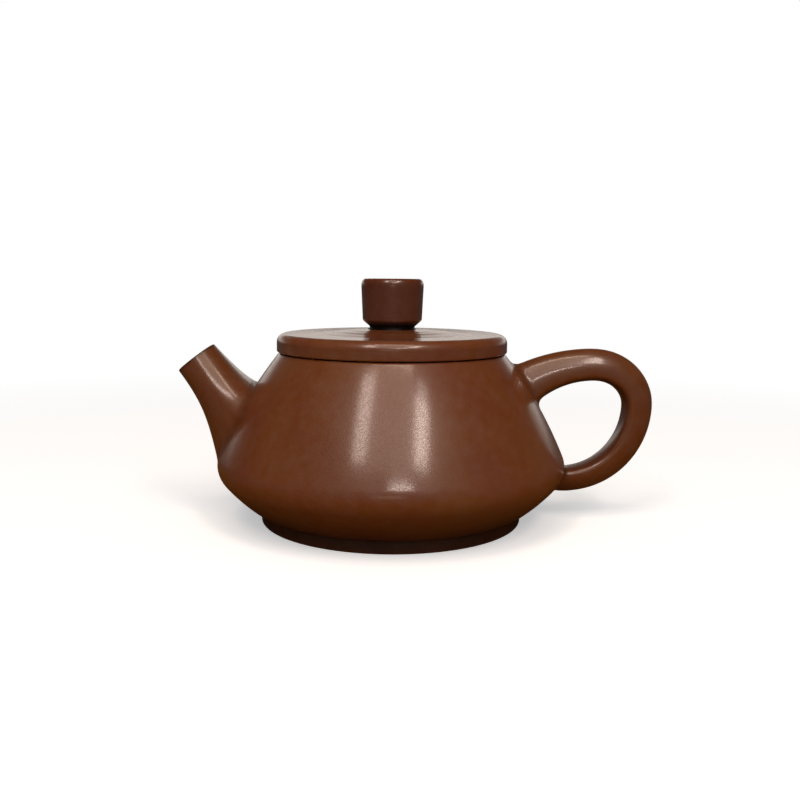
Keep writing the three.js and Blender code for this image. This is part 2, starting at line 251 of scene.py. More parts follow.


# Makes one piece from a grid. Painted shade given for its points adds to its recess mark, which
# darkens its colour, and inner gives a second finish with the rows from which and up to which it is used.
def addPiece(name, grid, body, nodes, finish, ring=False, poles=(None, None), paintedShade=None, inner=None):
    rows, columns = grid.shape[:2]
    points, faces, quadCount, turnedAbout = closedFaces(grid, ring, poles)
    mesh = bpy.data.meshes.new(name)
    place = points * millimetre + np.array(potAxis)
    mesh.from_pydata(place.tolist(), [], faces)
    convex, concave = bending(grid, ring)
    if turnedAbout:
        convex, concave = concave, convex
    for key, bend in (("edge", convex), ("recess", concave)):
        begin, span = markRanges[key]
        mark = np.clip((bend - begin) / span, 0, 1)
        # painted shade: darkening given for the points joins the recess mark
        if key == "recess" and paintedShade is not None:
            mark = np.maximum(mark, paintedShade)
        filled = np.zeros(len(points), np.float32)
        filled[: rows * columns] = mark.ravel()
        mesh.attributes.new(key, "FLOAT", "POINT").data.foreach_set("value", filled)
    mesh.shade_smooth()
    mesh.update()
    piece = addObject(name, mesh)
    mesh.materials.append(finish)
    if inner is not None:
        innerFinish, innerFrom, innerTo = inner
        mesh.materials.append(innerFinish)
        index = np.zeros(len(faces), np.int32)
        rowOfFace = np.arange(quadCount) // columns
        index[:quadCount] = (rowOfFace >= innerFrom) & (rowOfFace < innerTo)
        if poles[1] is not None and innerTo >= rows - 1:
            index[-columns:] = 1
        mesh.polygons.foreach_set("material_index", index)
    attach(piece, body)
    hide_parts(*nodes)
    return piece


# How near points lie to a closed line, as 1 on it falling to 0: exp(-(distance / width)^2)
def nearLine(points, line, width, blockSize=4000):
    flat = points.reshape(-1, 3)
    near = np.full(len(flat), np.inf)
    reach = 4 * width
    inReach = (flat >= line.min(0) - reach) & (flat <= line.max(0) + reach)
    close = np.flatnonzero(inReach.all(1))
    for block in np.array_split(close, max(len(close) // blockSize, 1)):
        gaps = flat[block, None, :] - line[None]
        near[block] = np.sqrt((gaps**2).sum(-1)).min(1)
    return np.exp(-((near / width) ** 2)).reshape(points.shape[:-1])


# Painted shade along a line where pieces meet, given its width and its strength
def paintedShadeAlong(points, line, paintedShade):
    width, strength = paintedShade
    return nearLine(points, line, width) * strength


# Fractional row at which each column's values first fall to a level or below it
def firstPass(values, level):
    below = values <= level
    row = np.clip(below.argmax(0), 1, None)
    column = np.arange(values.shape[1])
    before, after = values[row - 1, column], values[row, column]
    level = np.broadcast_to(level, before.shape)
    return row - 1 + (before - level) / np.where(before == after, 1, before - after)


# Rows that carry a luted root onto the body. Start lies on the root a little before the line
# where it meets the body, and the rows bend from it about that line onto the body, then dip
# under the surface. On the body they go square to the meeting line. Depths are those of their end on
# the body and of the three buried rows.
def rootRows(start, meeting, width, steps=10, depths=(0.01, 0.08, 0.6, 1.2)):
    normal = bodyNormal(meeting)
    tangent = np.roll(meeting, -1, 0) - np.roll(meeting, 1, 0)
    outward = unit(np.cross(tangent, normal))
    outward *= np.sign((outward * (meeting - meeting.mean(0))).sum(-1, keepdims=True))
    end = onBody(meeting + np.reshape(width, (-1, 1)) * outward, depths[0])
    buried = (end + 0.4 * outward, end + 0.2 * outward, meeting)
    sunk = [onBody(row, depth) for row, depth in zip(buried, depths[1:])]
    return np.concatenate([bent(start, meeting, end, steps)[1:], np.stack(sunk)])


def setInputs(node, values):
    for key, value in values.items():
        node.inputs[key].default_value = value


# Makers for one node tree: new nodes, links, and maths, range and mix nodes. A socket given as a
# value is linked, and anything else is set on the input.
def treeTools(tree):
    add, join = tree.nodes.new, tree.links.new

    def feed(socket, value):
        if isinstance(value, bpy.types.NodeSocket):
            join(value, socket)
        else:
            socket.default_value = value

    def mathNode(operation, *values, kind="Math"):
        node = add("ShaderNode" + kind)
        node.operation = operation
        for socket, value in zip(node.inputs, values):
            feed(socket, value)
        return node.outputs["Value"]

    def ranged(value, low, high, toLow, toHigh, smooth=False):
        node = add("ShaderNodeMapRange")
        if smooth:
            node.interpolation_type = "SMOOTHSTEP"
        names = ("Value", "From Min", "From Max", "To Min", "To Max")
        for key, given in zip(names, (value, low, high, toLow, toHigh)):
            feed(node.inputs[key], given)
        return node.outputs["Result"]

    def mixed(kind, factor, a, b):
        node = add("ShaderNodeMix")
        node.data_type = kind
        for key, given in zip(("Factor", "A", "B"), (factor, a, b)):
            feed(node.inputs[key], given)
        return node.outputs["Result"]

    return add, join, mathNode, ranged, mixed


# Texture scales of the clay's patterns, and the random values between which a speck comes into view
patternScales = {"broad": 55, "middle": 330, "skin": 700, "specks": 1500, "sand": 3200, "fine": 6500}
speckRange = (0.86, 0.9)

# Values of the clay group for each finish
burnished = {
    "Mottle": 0.08, "Speck": 0.06, "Gloss": 0.42, "Gloss Range": 0.04, "Polish": 1.0, "Polish Loss": 0.48,
    "Wear And Shade": 0.4, "Grain Height": 1.0, "Skin Height": 0.1,
}
handled = {**burnished, "Gloss": 0.36, "Gloss Range": 0.03, "Grain Height": 0.6}
knobSkin = {**handled, "Wear And Shade": 0.55}
asFired = {
    "Mottle": 0.14, "Speck": 0.25, "Gloss": 0.72, "Gloss Range": 0.1, "Polish": 0.0, "Polish Loss": 0.0,
    "Wear And Shade": 0.3, "Grain Height": 1.0, "Skin Height": 0.6,
}


# Clay body shared by every finish: broad firing mottle, fine sand grain, light and dark specks,
# edges lightened by wear, painted shade that darkens the recess mark, and an uneven skin left by
# paddling and burnishing. All patterns read Object coordinates.
def clayGroup():
    group = bpy.data.node_groups.new("clayBody", "ShaderNodeTree")
    sockets = {"INPUT": ("Clay", *burnished), "OUTPUT": ("Color", "Roughness", "Polish", "Height")}
    for side, names in sockets.items():
        for name in names:
            kind = "NodeSocketColor" if name in ("Clay", "Color") else "NodeSocketFloat"
            group.interface.new_socket(name, in_out=side, socket_type=kind)
    add, join, mathNode, ranged, _ = treeTools(group)
    given, result = add("NodeGroupInput").outputs, add("NodeGroupOutput").inputs
    place = add("ShaderNodeTexCoord").outputs["Object"]

    def noise(name, detail, roughness=0.5):
        node = add("ShaderNodeTexNoise")
        setInputs(node, {"Scale": patternScales[name], "Detail": detail, "Roughness": roughness})
        join(place, node.inputs["Vector"])
        return node.outputs["Fac"]

    def attribute(name):
        node = add("ShaderNodeAttribute")
        node.attribute_name = name
        return node.outputs["Fac"]

    broad, middle = noise("broad", 3), noise("middle", 3, 0.6)
    sand, fine = noise("sand", 1), noise("fine", 1)
    specks = add("ShaderNodeTexVoronoi")
    setInputs(specks, {"Scale": patternScales["specks"]})
    join(place, specks.inputs["Vector"])
    speckSize = ranged(specks.outputs["Distance"], 0.12, 0.3, 1, 0)
    speckPick = add("ShaderNodeSeparateColor")
    join(specks.outputs["Color"], speckPick.inputs["Color"])
    picks = [ranged(speckPick.outputs[channel], *speckRange, 0, 1) for channel in (0, 1)]
    lightSpeck, darkSpeck = (mathNode("MULTIPLY", speckSize, pick) for pick in picks)
    edge, recess = attribute("edge"), attribute("recess")
    spread = (0.3, 0.7)  # values that nearly all of a noise lies between

    # Brightness = 1 + mottle x (broad and middle noise about 0) + speck x (sand, light and dark specks)
    # + wear and shade x (edges lighter from wear - recesses darker as painted shade)
    mottle = mathNode("ADD", ranged(broad, *spread, -0.6, 0.6), ranged(middle, *spread, -0.4, 0.4))
    grain = mathNode("ADD", ranged(sand, 0.25, 0.75, -0.5, 0.5), mathNode("SUBTRACT", lightSpeck, darkSpeck))
    bright = mathNode("MULTIPLY_ADD", mottle, given["Mottle"], 1.0)
    bright = mathNode("MULTIPLY_ADD", grain, given["Speck"], bright)
    # edges are lightened as wear, and the recess mark is darkened as painted shade
    for mark, strength in ((edge, 0.35), (recess, -1.8)):
        worn = mathNode("MULTIPLY", mark, strength)
        bright = mathNode("MULTIPLY_ADD", worn, given["Wear And Shade"], bright)
    warm = add("ShaderNodeHueSaturation")
    join(given["Clay"], warm.inputs["Color"])
    join(bright, warm.inputs["Value"])
    join(ranged(broad, *spread, 0.494, 0.506), warm.inputs["Hue"])
    join(ranged(middle, *spread, 1.05, 0.95), warm.inputs["Saturation"])
    join(warm.outputs["Color"], result["Color"])

    # Roughness = gloss + range x middle noise + wear x (dull recesses - smooth edges)
    uneven = ranged(middle, *spread, -0.5, 0.5)
    rough = mathNode("MULTIPLY_ADD", uneven, given["Gloss Range"], given["Gloss"])
    dulling, dull = mathNode("MULTIPLY", given["Wear And Shade"], 0.2), mathNode("SUBTRACT", recess, edge)
    join(mathNode("MULTIPLY_ADD", dull, dulling, rough), result["Roughness"])

    # Polish = polish x (1 - loss between sand grains) x (1 - recess)
    polish = mathNode("MULTIPLY_ADD", ranged(sand, 0.42, 0.6, -1, 0), given["Polish Loss"], 1.0)
    polish = mathNode("MULTIPLY", polish, given["Polish"])
    join(mathNode("MULTIPLY", polish, mathNode("SUBTRACT", 1.0, recess)), result["Polish"])

    # Height = sand and fine grain + the slow unevenness of a hand-worked skin
    grainHeight = mathNode("ADD", mathNode("MULTIPLY", fine, 0.15), mathNode("MULTIPLY", sand, 1.2))
    skin = mathNode("MULTIPLY", noise("skin", 2, 0.55), given["Skin Height"])
    join(mathNode("MULTIPLY_ADD", grainHeight, given["Grain Height"], skin), result["Height"])
    return group


clayBody = clayGroup()


# A finish from the clay's colour, its values for the shared group and for the shader, and the height
# of its grain in millimetres. Polish is a sharper coat over the softer clay.
def makeFinish(name, clay, pattern, surface, grainHeight):
    finish = bpy.data.materials.new(name)
    finish.use_nodes = True
    nodes, join = finish.node_tree.nodes, finish.node_tree.links.new
    shader = nodes["Principled BSDF"]
    setInputs(shader, surface)
    group = nodes.new("ShaderNodeGroup")
    group.node_tree = clayBody
    setInputs(group, {"Clay": (*clay, 1), **pattern})
    bump = nodes.new("ShaderNodeBump")
    setInputs(bump, {"Distance": grainHeight * millimetre})
    join(group.outputs["Height"], bump.inputs["Height"])
    join(group.outputs["Color"], shader.inputs["Base Color"])
    join(group.outputs["Roughness"], shader.inputs["Roughness"])
    join(bump.outputs["Normal"], shader.inputs["Normal"])
    if pattern["Polish"] > 0:
        join(group.outputs["Polish"], shader.inputs["Coat Weight"])
    return finish


burnishedSurface = {
    "IOR": 1.5, "Specular IOR Level": 0.47, "Diffuse Roughness": 0.3,
    "Coat IOR": 1.58, "Coat Roughness": 0.16,
}
handledSurface = {**burnishedSurface, "Coat Roughness": 0.15}
rawSurface = {"IOR": 1.5, "Specular IOR Level": 0.4, "Diffuse Roughness": 0.7}
burnishedClay = makeFinish("burnishedClay", (0.148, 0.0425, 0.0115), burnished, burnishedSurface, 0.04)
handledClay = makeFinish("handledClay", (0.13, 0.0372, 0.0102), handled, handledSurface, 0.04)
knobClay = makeFinish("knobClay", (0.095, 0.024, 0.009), knobSkin, handledSurface, 0.04)
rawClay = makeFinish("rawClay", (0.17, 0.062, 0.03), asFired, rawSurface, 0.06)
print("finishes made")


# Pot shell: underside, base edge, outer wall, rim, mouth ring and inner wall as one turned skin
def shellProfile():
    base, rim, mouth = shell["baseRadius"], shell["rimRadius"], shell["mouthRadius"]
    baseEdge, rimEdge, mouthEdge = shell["baseEdge"], shell["rimEdge"], shell["mouthEdge"]
    low, high, wall = shell["baseHeight"], shell["rimHeight"], shell["wall"]
    floor, ledge = low + wall, high - shell["mouthDepth"]
    floorRound, ledgeRound, pole = shell["floorRound"], shell["ledgeRound"], shell["poleRadius"]
    outerSteps, innerSteps = shell["lineSteps"]
    onWall = 0.6  # part of an edge that its round takes up on the wall
    outer = bodyLine(low + onWall * baseEdge, high - onWall * rimEdge, outerSteps)
    inner = bodyLine(floor + floorRound / 2, ledge - ledgeRound, innerSteps, wall)[::-1]
    outside = np.vstack([
        [(pole, low)],
        bent((base - baseEdge, low), (base, low), outer[0]),
        outer[1:-1],
        bent(outer[-1], (rim, high), (rim - rimEdge, high)),
        bent((mouth + mouthEdge, high), (mouth, high), (mouth, high - mouthEdge)),
    ])
    ledgeRadius = float(bodyRadius(ledge, wall))
    floorRadius = float(bodyRadius(floor, wall))
    inside = np.vstack([
        bent((mouth, ledge + mouthEdge), (mouth, ledge), (mouth + mouthEdge, ledge)),
        bent((ledgeRadius - ledgeRound, ledge), (ledgeRadius, ledge), inner[0]),
        inner[1:-1],
        bent(inner[-1], (floorRadius, floor), (floorRadius - floorRound, floor)),
        [(pole, floor)],
    ])
    outside = refined(outside, longest=2.0)
    return np.vstack([outside, refined(inside, longest=2.5)]), len(outside)


shellLine, insideFrom = shellProfile()
shellGrid = turned(shellLine, shell["around"])


strainer = {
    "height": 30.5,
    "radius": 7.6,
    "wall": 1.8,
    "inset": 0.8,
    "gap": 0.15,
    "holeRadius": 0.9,
    "rings": ((0, 1), (30, 6), (60, 12)),
    "edge": 0.4,
    "around": 96,
    "holeAround": 20,
}
strainerOrigin = np.array([-float(bodyRadius(strainer["height"])), 0, strainer["height"]])

spout = {
    "mouth": (-58.38, 48.0),
    "mouthTilt": 37.6,
    "mouthRadius": 6.5,
    "lip": 0.45,
    "lowTurn": (-55.6, 33.3),
    "highTurn": (-43.5, 40.9),
    "turnPull": (1.73, 1.33),
    "turnHalfWidth": 11.0,
    "turnSquareness": (0.75, 1.1),
    "rootTop": 40.0,
    "rootWidest": 30.5,
    "rootFoot": 15.8,
    "rootHalfWidth": 16.5,
    "rootSquareness": (0.7, 1.35),
    "rootBlend": (1.5, 3.4, 2.6),
    "boreRadius": 4.4,
    "boreRootRadius": 8.0,
    "boreGrowth": 3.0,
    "boreWidensTo": 1.2,
    "boreReach": 1.3,
    "borePastWall": 0.4,
    "paintedShade": (2.0, 0.3),  # width and strength of the painted shade along the root
    # painted shade along the lip (width, strength), over the mouth's rows, and inside the bore
    "lipShade": (0.6, 1.0),
    "mouthShade": 1.0,
    "boreShade": 0.6,
    "along": 60,
    "boreAlong": 32,
    "around": 144,
}


# Sine of an angle raised to a power that runs from one value at the top to another at the foot:
# below 1 it is squarer than a circle, and above 1 more pointed
def squared(angle, powers):
    cosine, sine = np.cos(angle), np.sin(angle)
    power = (powers[0] + powers[1]) / 2 + (powers[0] - powers[1]) / 2 * cosine
    return np.sign(sine) * np.abs(sine) ** power


# Root of the spout on the body: an egg, squarer above and pointed below, drawn by an angle from its
# top. Height runs with the cosine and width with the squared sine.
def spoutRoot(angle):
    top, widest, low = spout["rootTop"], spout["rootWidest"], spout["rootFoot"]
    cosine = np.cos(angle)
    z = widest + np.where(cosine > 0, top - widest, widest - low) * cosine
    y = spout["rootHalfWidth"] * squared(angle, spout["rootSquareness"])
    x = -np.sqrt(bodyRadius(z) ** 2 - y**2)
    return np.stack([x, y, z], -1)


mouthTilt = math.radians(spout["mouthTilt"])
mouthAcross = np.array([math.cos(mouthTilt), 0, math.sin(mouthTilt)])
mouthOut = np.array([-math.sin(mouthTilt), 0, math.cos(mouthTilt)])
mouthCentre = np.array([spout["mouth"][0], 0, spout["mouth"][1]])
sideways = np.array([0, 1.0, 0])


# Points of a circle in the plane of the spout's mouth
def circle(angle, radius):
    return radius * (np.cos(angle)[..., None] * mouthAcross + np.sin(angle)[..., None] * sideways)


# Spout skin: from the mouth circle to the root, each line bends once, towards a point on a turn
# ellipse between them, and a pull above 1 brings it nearer to that point:
# ((1-t)^2 mouth + 2t(1-t) pull turn + t^2 root) / ((1-t)^2 + 2t(1-t) pull + t^2)
def spoutSkin(t, angle):
    t, cosine = t[..., None], np.cos(angle)[..., None]
    low, high = (np.array([p[0], 0, p[1]]) for p in (spout["lowTurn"], spout["highTurn"]))
    turn = (high + low) / 2 + cosine * (high - low) / 2
    turn = turn + spout["turnHalfWidth"] * squared(angle, spout["turnSquareness"])[..., None] * sideways
    mouth = mouthCentre + circle(angle, spout["mouthRadius"])
    lowPull, highPull = spout["turnPull"]
    pull = 2 * t * (1 - t) * ((highPull + lowPull) / 2 + cosine * (highPull - lowPull) / 2)
    return ((1 - t) ** 2 * mouth + pull * turn + t**2 * spoutRoot(angle)) / ((1 - t) ** 2 + pull + t**2)


# Bore skin: circles parallel to the mouth, on a straight axis, that widen with a power of the way in
def boreSkin(t, angle):
    narrow, wide = spout["boreRadius"], spout["boreRootRadius"]
    radius = narrow + (wide - narrow) * np.clip(t, 0, spout["boreWidensTo"]) ** spout["boreGrowth"]
    centre = mouthCentre + t[..., None] * (strainerOrigin - mouthCentre)
    return centre + circle(angle, 1.0) * radius[..., None]


# Length along each column of points, from its first row on
def lengthTable(points):
    steps = np.linalg.norm(np.diff(points, axis=0), axis=-1)
    return np.concatenate([np.zeros((1, points.shape[1])), np.cumsum(steps, 0)])


# Inside of the spout, from the lip to just past the wall
def boreRows(angle, fine):
    reach = spout["boreReach"]
    t = np.linspace(0, reach, fine + 1)[:, None] + 0 * angle
    bore = boreSkin(t, angle)
    endAt = firstPass(outsideBody(bore), -spout["borePastWall"]) / fine * reach
    startAt = spout["lip"] / np.linalg.norm(bore[-1, 0] - bore[0, 0]) * reach
    share = np.linspace(0, 1, spout["boreAlong"] + 1)[1:, None]
    return boreSkin(startAt + (endAt - startAt) * share, angle)


def makeSpout(fine=400):
    angle = np.arange(spout["around"]) * 2 * np.pi / spout["around"]
    t = np.linspace(0, 1, fine + 1)[:, None] + 0 * angle
    length = lengthTable(spoutSkin(t, angle))
    top, side, low = spout["rootBlend"]
    width = side + np.where(np.cos(angle) > 0, top - side, low - side) * np.cos(angle) ** 2
    lip, meeting = spout["lip"], spoutRoot(angle)
    startAt = firstPass(-length, width - length[-1]) / fine
    lipAt = firstPass(-length, -lip) / fine
    root = rootRows(spoutSkin(startAt, angle), meeting, width)[::-1]
    share = np.linspace(1, 0, spout["along"] + 1)[:, None]
    outer = spoutSkin(lipAt + (startAt - lipAt) * share, angle)

    corner = mouthCentre + circle(angle, spout["mouthRadius"])
    lipEnd = mouthCentre + circle(angle, spout["mouthRadius"] - lip)
    lipRows = bent(outer[-1], corner, lipEnd)[1:]
    boreCorner = mouthCentre + circle(angle, spout["boreRadius"])
    boreEdge = mouthCentre + circle(angle, spout["boreRadius"] + lip)
    boreLip = bent(boreEdge, boreCorner, boreCorner - lip * mouthOut)

    grid = np.concatenate([root, outer, lipRows, boreLip, boreRows(angle, fine)])
    lipFrom = len(root) + len(outer)
    boreFrom = lipFrom + len(lipRows)
    innerFrom = boreFrom + len(boreLip) // 2
    # painted shade along the root and the lip, over the mouth's rows and inside the bore
    paintedShade = np.maximum(paintedShadeAlong(grid, meeting, spout["paintedShade"]), paintedShadeAlong(grid, corner, spout["lipShade"]))
    paintedShade[lipFrom + 2 : boreFrom + len(boreLip)] = spout["mouthShade"]
    paintedShade[innerFrom:] = spout["boreShade"]
    addPiece("spoutBody", grid, "pot", ["spout"], handledClay,
             ring=True, paintedShade=paintedShade, inner=(rawClay, innerFrom, len(grid)))
    return meeting


spoutMeeting = makeSpout()
print("spout made")


handle = {
    "crown": (60.15, 51.65),
    "sideOut": 78.2,
    "sideDrop": 17.15,
    "foot": (52.55, 8.2),
    "topRoot": 34.0,
    "topFall": 6.75,
    "innerTopRoot": 40.0,
    "innerTopFall": 10.0,
    "crownThickness": 9.5,
    "sideThickness": 8.72,
    "footThickness": 7.4,
    "innerDrop": 0.2,
    "innerFootIn": 1.0,
    "footRoot": (42.5, 0.6),
    "halfWidth": 4.8,
    "rootHalfWidth": 6.4,
    "flareEnds": 0.25,
    "widest": -0.4,
    "roundness": 1.8,
    "flatness": 2.8,
    "blend": (2.6, 2.2),
    # painted shade: width and strength along both roots, then strength over the loop's inner face
    "paintedShade": (1.0, 0.2),
    "innerFaceShade": 0.5,
    "around": 128,
    "along": 220,
}


# Handle side lines as tables of (x, z): an arc out of the flank, two quarter ellipses and a run to the
# belly, with their joints softened by a running mean
def handleLine(crown, side, foot, fall, rootX, steps=400, soften=80):
    s = np.linspace(0, 1, steps, endpoint=False)
    reach = crown[0] - rootX
    bend = (reach**2 + fall**2) / (2 * fall)
    rise = math.asin(reach / bend) * (1 - s)
    top = np.stack([crown[0] - bend * np.sin(rise), crown[1] - bend + bend * np.cos(rise)], -1)
    turn = s * np.pi / 2
    over = np.stack([
        crown[0] + (side[0] - crown[0]) * np.sin(turn),
        side[1] + (crown[1] - side[1]) * np.cos(turn),
    ], -1)
    under = np.stack([
        foot[0] + (side[0] - foot[0]) * np.cos(turn),
        side[1] - (side[1] - foot[1]) * np.sin(turn),
    ], -1)
    end = np.array([handle["footRoot"][0], foot[1] + handle["footRoot"][1]])
    run = np.array(foot) + np.append(s, 1)[:, None] * (end - np.array(foot))
    line = np.vstack([top, over, under, run])
    window = np.hanning(2 * soften + 1)
    window /= window.sum()
    padded = np.vstack([np.repeat(line[:1], soften, 0), line, np.repeat(line[-1:], soften, 0)])
    soft = np.stack([np.convolve(padded[:, k], window, "valid") for k in (0, 1)], -1)
    soft[:soften], soft[-soften:] = line[:soften], line[-soften:]
    return soft


crown, footPoint = handle["crown"], handle["foot"]
sidePoint = (handle["sideOut"], crown[1] - handle["sideDrop"])
outerLine = handleLine(crown, sidePoint, footPoint, handle["topFall"], handle["topRoot"])
innerLine = handleLine(
    (crown[0], crown[1] - handle["crownThickness"]),
    (sidePoint[0] - handle["sideThickness"], sidePoint[1] - handle["innerDrop"]),
    (footPoint[0] - handle["innerFootIn"], footPoint[1] + handle["footThickness"]),
    handle["innerTopFall"],
    handle["innerTopRoot"],
)


# Handle skin: at each place a section spans from the inner line to the outer one, widest nearer the
# inner one. Both sides of it are superellipses |x|^p + |y|^p = 1, ridged outside and flatter inside.
def handleSkin(place, angle):
    rows = len(outerLine) - 1
    near, far = along(innerLine, place * rows), along(outerLine, place * rows)
    cosine, sine = np.cos(angle), np.sin(angle)
    power, ridge, widest = 2 / handle["flatness"], 2 / handle["roundness"], handle["widest"]
    outerSide = (1 - widest) * np.abs(cosine) ** ridge
    innerSide = -(1 + widest) * np.abs(cosine) ** power
    across = widest + np.where(cosine >= 0, outerSide, innerSide)
    wide = np.sign(sine) * np.abs(sine) ** np.where(cosine >= 0, ridge, power)
    narrow, broad = handle["halfWidth"], handle["rootHalfWidth"]
    halfWidth = narrow + np.clip(1 - place / handle["flareEnds"], 0, 1) ** 2 * (broad - narrow)
    share = ((1 + across) / 2)[..., None]
    middle = near * (1 - share) + far * share
    return np.stack([middle[..., 0], wide * halfWidth, middle[..., 1]], -1)


def makeHandle(fine=1200):
    angle = np.arange(handle["around"]) * 2 * np.pi / handle["around"]
    column = np.arange(len(angle))
    t = np.linspace(0, 1, fine + 1)[:, None] + 0 * angle
    skin = handleSkin(t, angle)
    outside, length = outsideBody(skin), lengthTable(skin)
    half = fine // 2
    topAt = (half - firstPass(outside[: half + 1][::-1], 0.0)) / fine
    footAt = (half + firstPass(outside[half:], 0.0)) / fine
    blendTop, blendFoot = handle["blend"]
    starts = []
    for at, shift in ((topAt, blendTop), (footAt, -blendFoot)):
        row = at * fine
        low = np.floor(row).astype(int)
        before, after = length[low, column], length[np.minimum(low + 1, fine), column]
        wanted = before + (row - low) * (after - before) + shift
        starts.append(np.array([np.interp(wanted[c], length[:, c], t[:, c]) for c in column]))
    topMeeting, footMeeting = handleSkin(topAt, angle), handleSkin(footAt, angle)
    topRoot = rootRows(handleSkin(starts[0], angle), topMeeting, blendTop)[::-1]
    footRoot = rootRows(handleSkin(starts[1], angle), footMeeting, blendFoot)
    share = np.linspace(0, 1, handle["along"])[:, None]
    middle = handleSkin(starts[0] + (starts[1] - starts[0]) * share, angle)
    grid = np.concatenate([topRoot, middle, footRoot])
    paintedShade = np.clip(-1.6 * np.cos(angle) - 0.3, 0, 1) * handle["innerFaceShade"]  # painted shade on the inner face, fading towards the sides
    # painted shade along both roots
    for meeting in (topMeeting, footMeeting):
        paintedShade = np.maximum(paintedShade, paintedShadeAlong(grid, meeting, handle["paintedShade"]))
    poles = (topRoot[0].mean(0), footRoot[-1].mean(0))
    addPiece("handleLoop", grid, "pot", ["handle"], handledClay, paintedShade=paintedShade, poles=poles)
    return topMeeting, footMeeting


handleMeetings = makeHandle()
print("handle made")

# Shell, with painted shade that darkens it towards the bottom and along the roots of the spout and
# handle, and with a hole for the strainer cut through its wall
darkBelow, darkOver, darkness = shell["lowShade"]
shellShade = np.clip((darkBelow - shellGrid[..., 2]) / darkOver, 0, 1) * darkness
shellShade = np.maximum(shellShade, paintedShadeAlong(shellGrid, spoutMeeting, spout["paintedShade"]))
for meeting in handleMeetings:
    shellShade = np.maximum(shellShade, paintedShadeAlong(shellGrid, meeting, handle["paintedShade"]))
shellShade[insideFrom:] = 0
potShell = addPiece(
    "potShell", shellGrid, "pot", ["body_wall", "base_disc", "mouth_ring"], burnishedClay,
    poles=((0, 0, shell["baseHeight"]), (0, 0, shellLine[-1, 1])), paintedShade=shellShade,
    inner=(rawClay, insideFrom, len(shellLine)),
)

strainerAxis = bodyNormal(strainerOrigin[None])[0]


# Matrix that takes a shape about +z to the strainer's place, tilted and turned about its axis
def strainerPlace(tilt=0.0, turn=0.0, depth=0.0):
    aim = Vector(strainerAxis).to_track_quat("Z", "Y").to_matrix().to_4x4()
    spun = Matrix.Rotation(turn, 4, "Z") @ Matrix.Rotation(tilt, 4, "Y")
    origin = Vector(strainerOrigin) * millimetre + potAxis
    return Matrix.Translation(origin) @ aim @ Matrix.Translation((0, 0, -depth)) @ spun


# A closed drum of points about +z from a profile, in metres, as a bare mesh
def drumMesh(name, profile, around, matrices):
    grid = turned(np.array(profile, float), around) * millimetre
    rows = len(profile)
    number = np.arange(rows * around).reshape(rows, around)
    quads = quadsBetween(number[:-1], number[1:])
    points, faces = [], []
    for matrix in matrices:
        first = sum(len(p) for p in points)
        place = np.array(matrix)
        points.append(grid.reshape(-1, 3) @ place[:3, :3].T + place[:3, 3])
        faces += (quads + first).tolist()
        faces.append((number[0][::-1] + first).tolist())
        faces.append((number[-1] + first).tolist())
    mesh = bpy.data.meshes.new(name)
    mesh.from_pydata(np.vstack(points).tolist(), [], faces)
    mesh.update()
    return mesh


# Cuts a closed mesh out of a piece, and leaves the result as the piece's own mesh
def cutOut(piece, mesh, sharpAngle=40):
    cutter = addObject("cutter", mesh)
    modifier = piece.modifiers.new("cut", "BOOLEAN")
    modifier.operation = "DIFFERENCE"
    modifier.solver = "EXACT"
    modifier.object = cutter
    bpy.context.view_layer.update()
    result = bpy.data.meshes.new_from_object(piece.evaluated_get(bpy.context.evaluated_depsgraph_get()))
    piece.modifiers.clear()
    old = piece.data
    piece.data = result
    result.name = piece.name
    bpy.data.meshes.remove(old)
    bpy.data.objects.remove(cutter)
    bpy.data.meshes.remove(mesh)
    result.shade_smooth()
    result.set_sharp_from_angle(angle=math.radians(sharpAngle))


holeRadius = strainer["radius"] + strainer["gap"]
through = 3 * shell["wall"]
wallDrum = [(holeRadius, -through), (holeRadius, through)]
cutOut(potShell, drumMesh("wallHole", wallDrum, strainer["around"], [strainerPlace()]))
print("shell made")


foot = {
    "radius": 38.9,
    "width": 5.0,
    "edge": 0.7,
    "rootFlare": 0.4,
    "around": 240,
}


# Foot ring: its top flares softly into the base. Its whole skin is darkened as painted shade.
def makeFoot():
    outer, edge, flare = foot["radius"], foot["edge"], foot["rootFlare"]
    inner, top = outer - foot["width"], shell["baseHeight"]
    profile = np.vstack([
        bent((inner + edge, 0), (inner, 0), (inner, edge)),
        bent((inner, top - flare), (inner, top), (inner - flare, top)),
        [(inner - flare, top + overlap), (outer + flare, top + overlap)],
        bent((outer + flare, top), (outer, top), (outer, top - flare)),
        bent((outer, edge), (outer, 0), (outer - edge, 0)),
    ])[::-1]
    profile = refinedRing(profile, longest=1.0)
    grid = turned(profile, foot["around"])
    # painted shade over the whole ring
    dark = np.ones(grid.shape[:2])
    addPiece("footRing", grid, "pot", ["foot_ring"], burnishedClay, ring=True, paintedShade=dark)


makeFoot()


